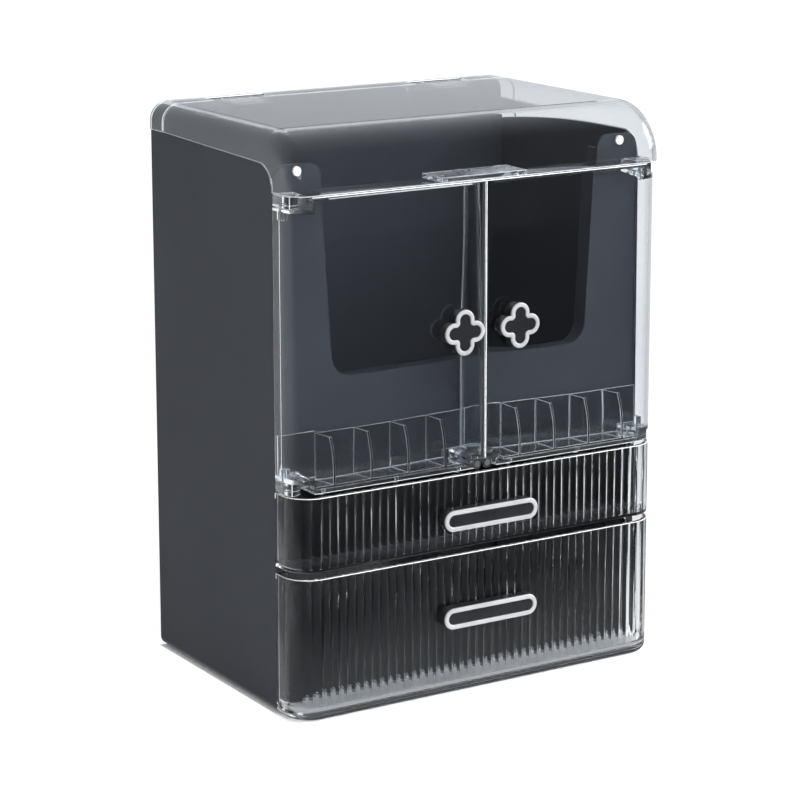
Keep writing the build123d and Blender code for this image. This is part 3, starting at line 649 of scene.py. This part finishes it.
def plate(name, outlines, front, rear, radius, centre):
    """A plate across the front, with a rounded edge, its outlines round a centre in millimetres."""
    curve = bpy.data.curves.new(name, "CURVE")
    curve.dimensions = "2D"
    curve.fill_mode = "BOTH"
    for outline in outlines:
        line = curve.splines.new("POLY")
        line.points.add(len(outline) - 1)
        line.use_cyclic_u = True
        for point, (x, z) in zip(line.points, outline):
            point.co = (x * MM, z * MM, 0, 1)
    curve.offset = -radius * MM
    curve.extrude = ((rear - front) / 2 - radius) * MM
    curve.bevel_depth = radius * MM
    curve.bevel_resolution = 3
    draft = new_piece(name, curve)
    graph = bpy.context.evaluated_depsgraph_get()
    mesh = bpy.data.meshes.new_from_object(draft.evaluated_get(graph))
    bpy.data.objects.remove(draft)
    middle = Vector((centre[0], (front + rear) / 2, centre[1])) * MM
    mesh.transform(Matrix.Translation(middle) @ Matrix.Rotation(math.radians(90), 4, "X"))
    work = bmesh.new()
    work.from_mesh(mesh)
    bmesh.ops.remove_doubles(work, verts=work.verts, dist=0.001 * MM)
    bmesh.ops.recalc_face_normals(work, faces=work.faces)
    work.to_mesh(mesh)
    work.free()
    shade(mesh, 40)
    return new_piece(name, mesh)


def quatrefoil(inset):
    """Four round lobes about a centre, inset by a rim, as one outline in millimetres."""
    reach = knob_reach - knob_lobe
    cusp = (reach + math.sqrt(2 * knob_lobe ** 2 - reach ** 2)) / 2
    swing = math.degrees(math.atan2(cusp, cusp - reach))
    points = []
    for quarter in (0, 90, 180, 270):
        a = math.radians(quarter)
        middle = (reach * math.cos(a), reach * math.sin(a))
        points += arc(middle, knob_lobe - inset, quarter - swing, quarter + swing, 28)
        if inset > 0:
            b = math.radians(quarter + 45)
            corner = (cusp * math.sqrt(2) * math.cos(b), cusp * math.sqrt(2) * math.sin(b))
            points += arc(corner, inset, quarter + swing + 180, quarter - swing + 270, 12)[1:-1]
    return points


def stadium(inset):
    """A long bar with round ends, inset by a rim, as an outline in millimetres."""
    radius = handle_half_height - inset
    turn = handle_half_length - handle_half_height
    return arc((turn, 0), radius, -90, 90, 24) + arc((-turn, 0), radius, 90, 270, 24)


def grip(name, outline, rim_width):
    """A knob or handle: a black body, a bright rim round its face and a black inlay."""
    for part, outlines, radius in (
        ("body", [outline(0)], 0.3),
        ("rim", [outline(0), outline(rim_width)], 0.6),
        ("inlay", [outline(rim_width + 0.1)], 0.15),
    ):
        low, high = box_mm(name + "_" + part)
        centre = ((low.x + high.x) / 2, (low.z + high.z) / 2)
        piece = plate(name + "_" + part + "_smooth", outlines, low.y, high.y, radius, centre)
        stands_for(piece, name + "_" + part)


for hand in ("left", "right"):
    grip(hand + "_knob", quatrefoil, knob_rim_width)
for level in ("upper", "lower"):
    grip(level + "_handle", stadium, handle_rim_width)

# Doors: clear trays, open behind, notched at their hinge corners and at the catch

door_corner = 18.0
door_edge = 0.4
notch_width = 12.8
upper_notch = 7.9
lower_notch = 5.9
catch_notch = 8.4
pin_from_side = 3.2
pin_forward = 8.0
boss_radius = 3.0
boss_length = 7.0
bore_radius = 1.05
peg_hole = 1.6
peg_y = -82.55
peg_places = (20.4, 72.3, 117.5)


def door_block(side, inner, inset, rear, low, high, edge=0.0):
    """A tray's outside or hollow, from its inner end to its round outer corner, edges rounded."""
    radius = door_corner - inset
    outer = half - inset
    turn = (outer - radius, front_face + inset + radius)
    outline = (
        [(inner, rear), (inner, front_face + inset)] + arc(turn, radius, 270, 360, 24) + [(outer, rear)]
    )
    work = prism([(side * x, y) for x, y in outline], low, high, "XYZ")
    if edge:
        sharp = math.radians(crease)
        # The rounded edges take the pale surface, a painted highlight along them
        bevel_edges(work, lambda found: found.calc_face_angle(0) > sharp, edge, 3, surface=1)
    return to_mesh(work, "door_block")


def block(x0, x1, y0, y1, z0, z1):
    """A plain box between two corners."""
    return to_mesh(prism([(x0, y0), (x1, y0), (x1, y1), (x0, y1)], z0, z1, "XYZ"), "block")


def post(x, y, radius, low, high):
    """A round bar standing on its end."""
    return to_mesh(prism(arc((x, y), radius, 0, 345, 23), low, high, "XYZ"), "post")


for side, hand in ((-1, "left"), (1, "right")):
    low, high = box_mm(hand + "_door_panel")
    knob_low, knob_high = box_mm(hand + "_knob_body")
    inner = min(abs(low.x), abs(high.x))
    door = clear_piece(
        hand + "_door", door_block(side, inner, 0, high.y, low.z, high.z, door_edge),
    )
    hollow = new_piece(
        "hollow",
        door_block(
            side, inner + clear_wall, clear_wall, case_front, low.z + clear_wall, high.z - clear_wall,
        ),
    )
    past = 2 * overcut
    for piece, wall in ((hollow, clear_wall), (door, 0)):
        for inner_x, outer_x, z0, z1 in (
            (half - notch_width - wall, half + past, high.z - upper_notch - wall, high.z + past),
            (half - notch_width - wall, half + past, low.z - past, low.z + lower_notch + wall),
            (-past, catch_notch + wall, low.z - past, low.z + lower_notch + wall),
        ):
            combine(
                piece, "DIFFERENCE",
                block(side * inner_x, side * outer_x, front_face - past, case_front + past, z0, z1),
            )
    combine(door, "DIFFERENCE", hollow.data)
    bpy.data.objects.remove(hollow)
    pin_x = side * (half - pin_from_side)
    pin_y = case_front - pin_forward
    for boss_low in (high.z - upper_notch - boss_length, low.z + lower_notch):
        boss_high = boss_low + boss_length
        combine(door, "UNION", post(pin_x, pin_y, boss_radius, boss_low, boss_high))
        combine(door, "DIFFERENCE", post(pin_x, pin_y, bore_radius, boss_low - 1, boss_high + 1))
    knob_x = (knob_low.x + knob_high.x) / 2
    knob_z = (knob_low.z + knob_high.z) / 2
    combine(
        door, "DIFFERENCE", disc(knob_x, knob_z, screw_hole, front_face - 1, front_face + overcut),
    )
    for place in peg_places:
        peg_x = min(side * half, 0) + place
        combine(door, "DIFFERENCE", post(peg_x, peg_y, peg_hole, low.z - 1, low.z + 5))
    shade(door.data)
    stands_for(door, hand + "_door_panel")

# The lid: a round front and sides over a hollow

lid_front_round = 36.0
lid_side_round = 12.0
lid_edge = 0.4
skirt_round = 16.0
skirt_slope = 3.2 / 157


def roof_solid(half_width, inset, front_round, side_round, lower_edge):
    """A solid under the lid's roof line, its two long roof edges rounded over."""
    front = front_face + inset
    top = lid_high.z - inset
    outline = arc((front + front_round, top - front_round), front_round, 180, 90, 28) + lower_edge
    work = prism(outline, -half_width, half_width, "YZX")
    skyline = {(round(y, 3), round(z, 3)) for y, z in outline[:29]}
    ends = {(round(y, 3), round(z, 3)) for y, z in (lower_edge[0], lower_edge[-1])}
    reached = skyline | ends

    def on_roof(edge):
        """Tell whether an edge runs along the roof line at one side."""
        first, second = [(round(v.co.y / MM, 3), round(v.co.z / MM, 3)) for v in edge.verts]
        level = abs(edge.verts[0].co.x - edge.verts[1].co.x) < 0.0001
        return level and first in reached and second in reached and not {first, second} <= ends

    bevel_edges(work, on_roof, side_round, 12)
    return to_mesh(work, "roof_solid")


skirt_top = lid_low.z + skirt_round
skirt_low = (
    [(lid_high.y, lid_high.z), (lid_high.y, skirt_top + skirt_slope * (lid_high.y - case_front))]
    + arc((case_front + skirt_round, lid_low.z), skirt_round, 90, 180, 12)
    + [(front_face, lid_low.z)]
)
lid = new_piece("lid_shell", roof_solid(half, 0, lid_front_round, lid_side_round, skirt_low))
past = 2 * overcut
open_below = [
    (lid_high.y + past, lid_high.z - lid_wall), (lid_high.y + past, lid_low.z - past),
    (front_face + lid_wall, lid_low.z - past),
]
combine(
    lid, "DIFFERENCE",
    roof_solid(
        half - lid_wall, lid_wall, lid_front_round - lid_wall, lid_side_round - lid_wall, open_below,
    ),
)
shade(lid.data)
round_edges(lid, lid_edge)
stands_for(lid, "lid_cover")

# Everything else keeps the CAD's shape, with its edges rounded over
for name, radius in (
    ("case_shell", 0.5), ("front_frame", 0.4), ("rear_rail", 0.4), ("lid_catch_bar", 0.3),
    ("left_door_rack", 0.4), ("right_door_rack", 0.4), ("bottom_catch", 0.3), ("rear_hinge_left", 0.25),
    ("rear_hinge_right", 0.25), ("lid_hinge_arm_left", 0.25), ("lid_hinge_arm_right", 0.25),
    ("door_bracket_upper_left", 0.25), ("door_bracket_upper_right", 0.25),
    ("door_bracket_lower_left", 0.25), ("door_bracket_lower_right", 0.25),
):
    moulding(name, radius)


# Stage: pale floor with a faint real shadow and a painted shadow beneath the cabinet, white all round,
# soft lamps, all in metres


stage_white = 1.04
paper_glow = 0.93
# The paper's glow in the painted shadow beneath the cabinet
paper_glow_in_painted_shadow = 0.07
to_the_rear = (0, 1, 0)
to_the_rear_left = (-0.5, 0.87, 0)


def ways_of_seeing(tree):
    """1 where the stage is seen straight or through clear plastic, and 1 where it is mirrored once.

    Light that turned more than once inside a clear wall comes out of its edges as from the stage.
    """
    found = dict(add_node(tree, "ShaderNodeLightPath").outputs.items())
    for name, operation, first, second in (
        ("lighting", "GREATER_THAN", "Diffuse Depth", 0.5),
        ("turned once", "COMPARE", "Glossy Depth", 1),
        ("not direct", "MAXIMUM", "lighting", "turned once"),
        ("direct", "SUBTRACT", "Is Transmission Ray", "not direct"),
        ("straight", "MAXIMUM", "Is Camera Ray", "direct"),
        ("turned inside", "MULTIPLY", "Is Transmission Ray", "turned once"),
        ("bounced", "MAXIMUM", "Is Glossy Ray", "turned inside"),
        ("mirrored", "SUBTRACT", "bounced", "lighting"),
    ):
        inputs = {0: found[first], 1: found.get(second, second), 2: 0.5}
        found[name] = add_node(tree, "ShaderNodeMath", inputs, operation=operation).outputs["Value"]
    return found["straight"], found["mirrored"]


def graded(tree, place, way, start, end, first, last):
    """A brightness that changes from a first to a last value along a way across the studio."""
    along = add_node(tree, "ShaderNodeVectorMath", {0: place, 1: way}, operation="DOT_PRODUCT")
    return add_node(
        tree, "ShaderNodeMapRange",
        {
            "Value": along.outputs["Value"], "From Min": start, "From Max": end,
            "To Min": first, "To Max": last,
        },
    ).outputs["Result"]


def under_the_cabinet(tree, place, open_value, covered_value):
    """One value on the open floor and another where the cabinet stands over it."""
    across = add_node(tree, "ShaderNodeSeparateXYZ", {"Vector": place}).outputs
    middle, depth = (front_face + case_high.y) / 2 * MM, (case_high.y - front_face) * MM
    in_width = add_node(
        tree, "ShaderNodeMath", {0: across["X"], 1: 0, 2: half * MM}, operation="COMPARE",
    )
    in_depth = add_node(
        tree, "ShaderNodeMath", {0: across["Y"], 1: middle, 2: depth / 2}, operation="COMPARE",
    )
    both = add_node(
        tree, "ShaderNodeMath",
        {0: in_width.outputs["Value"], 1: in_depth.outputs["Value"]}, operation="MULTIPLY",
    )
    return add_node(
        tree, "ShaderNodeMapRange",
        {"Value": both.outputs["Value"], "To Min": open_value, "To Max": covered_value},
    ).outputs["Result"]


def studio_paper():
    """White studio paper: matt, faintly grained and glowing, with a painted shadow where the cabinet
    stands over it, and painted shade towards the front where it is seen mirrored.
    """
    material = bpy.data.materials.new("white_studio_paper")
    material.use_nodes = True
    tree = material.node_tree
    tree.nodes.clear()
    straight, mirrored = ways_of_seeing(tree)
    grain = drifting_colour(tree, 2, "#f4f4f4", "#fafafa")
    paper = add_node(tree, "ShaderNodeBsdfDiffuse", {"Color": grain})
    glow = add_node(tree, "ShaderNodeEmission", {"Color": (1, 1, 1, 1), "Strength": stage_white})
    spot = add_node(tree, "ShaderNodeTexCoord").outputs["Object"]
    # Painted shade: where it is seen mirrored, the paper glows dimmer towards the front
    shaded = add_node(
        tree, "ShaderNodeEmission",
        {
            "Color": linear("#f6f8fb"),
            "Strength": graded(tree, spot, to_the_rear, -0.45, 0.05, 0.07, 0.6),
        },
    )
    # Painted shadow: the paper glows far less where the cabinet stands over it
    glow_share_with_painted_shadow = under_the_cabinet(tree, spot, paper_glow, paper_glow_in_painted_shadow)
    bright = add_node(
        tree, "ShaderNodeMixShader",
        {"Fac": glow_share_with_painted_shadow, 1: paper.outputs["BSDF"], 2: glow.outputs["Emission"]},
    )
    reflected = add_node(
        tree, "ShaderNodeMixShader",
        {"Fac": mirrored, 1: paper.outputs["BSDF"], 2: shaded.outputs["Emission"]},
    )
    surface = add_node(
        tree, "ShaderNodeMixShader",
        {"Fac": straight, 1: reflected.outputs["Shader"], 2: bright.outputs["Shader"]},
    )
    add_node(tree, "ShaderNodeOutputMaterial", {"Surface": surface.outputs["Shader"]})
    return material


reach = 12
floor_corners = [(-reach, -reach, 0), (reach, -reach, 0), (reach, reach, 0), (-reach, reach, 0)]
floor_mesh = bpy.data.meshes.new("studio_floor")
floor_mesh.from_pydata(floor_corners, [], [(0, 1, 2, 3)])
floor = new_piece("studio_floor", floor_mesh)
floor_mesh.materials.append(studio_paper())

world = bpy.data.worlds.new("studio")
world.use_nodes = True
studio = world.node_tree
studio.nodes.clear()
straight, mirrored = ways_of_seeing(studio)
direction = add_node(studio, "ShaderNodeTexCoord").outputs["Generated"]
room_light = add_node(
    studio, "ShaderNodeBackground",
    {
        "Color": (1, 1, 1, 1),
        "Strength": graded(studio, direction, to_the_rear_left, -1.0, -0.2, 7.0, 0.3),
    },
)
backdrop = add_node(studio, "ShaderNodeBackground", {"Color": (1, 1, 1, 1), "Strength": stage_white})
walls = add_node(
    studio, "ShaderNodeBackground",
    {
        "Color": linear("#f4f8fd"),
        "Strength": graded(studio, direction, to_the_rear, -0.3, 0.5, 0.15, 0.63),
    },
)
reflected = add_node(
    studio, "ShaderNodeMixShader",
    {"Fac": mirrored, 1: room_light.outputs["Background"], 2: walls.outputs["Background"]},
)
room = add_node(
    studio, "ShaderNodeMixShader",
    {"Fac": straight, 1: reflected.outputs["Shader"], 2: backdrop.outputs["Background"]},
)
add_node(studio, "ShaderNodeOutputWorld", {"Surface": room.outputs["Shader"]})
scene.world = world


def softbox(name, place, wide, tall, watts):
    """A rectangular lamp at a place in metres, turned towards the cabinet."""
    lamp = bpy.data.lights.new(name, "AREA")
    lamp.shape = "RECTANGLE"
    lamp.size = wide
    lamp.size_y = tall
    lamp.energy = watts
    holder = bpy.data.objects.new(name, lamp)
    holder.location = place
    holder.rotation_euler = (Vector((0, 0, 0.18)) - Vector(place)).to_track_quat("-Z", "Y").to_euler()
    scene.collection.objects.link(holder)


softbox("softbox_front_left", (-1.2, -1.6, 1.5), 0.9, 0.9, 6)
softbox("softbox_right", (1.6, -0.5, 1.0), 0.8, 1.0, 14)

camera_data = bpy.data.cameras.new("camera")
camera_data.lens = 125.73
camera_data.shift_y = -0.1
camera = bpy.data.objects.new("camera", camera_data)
camera.location = (-0.93239, -1.486, 0.59742)
camera.rotation_euler = (math.pi / 2 - 0.2108, 0.0009, -0.5569)
scene.collection.objects.link(camera)
scene.camera = camera

scene.view_settings.view_transform = "Standard"
scene.cycles.max_bounces = 32
scene.cycles.transmission_bounces = 28
scene.cycles.glossy_bounces = 14
scene.cycles.diffuse_bounces = 4
scene.cycles.transparent_max_bounces = 24
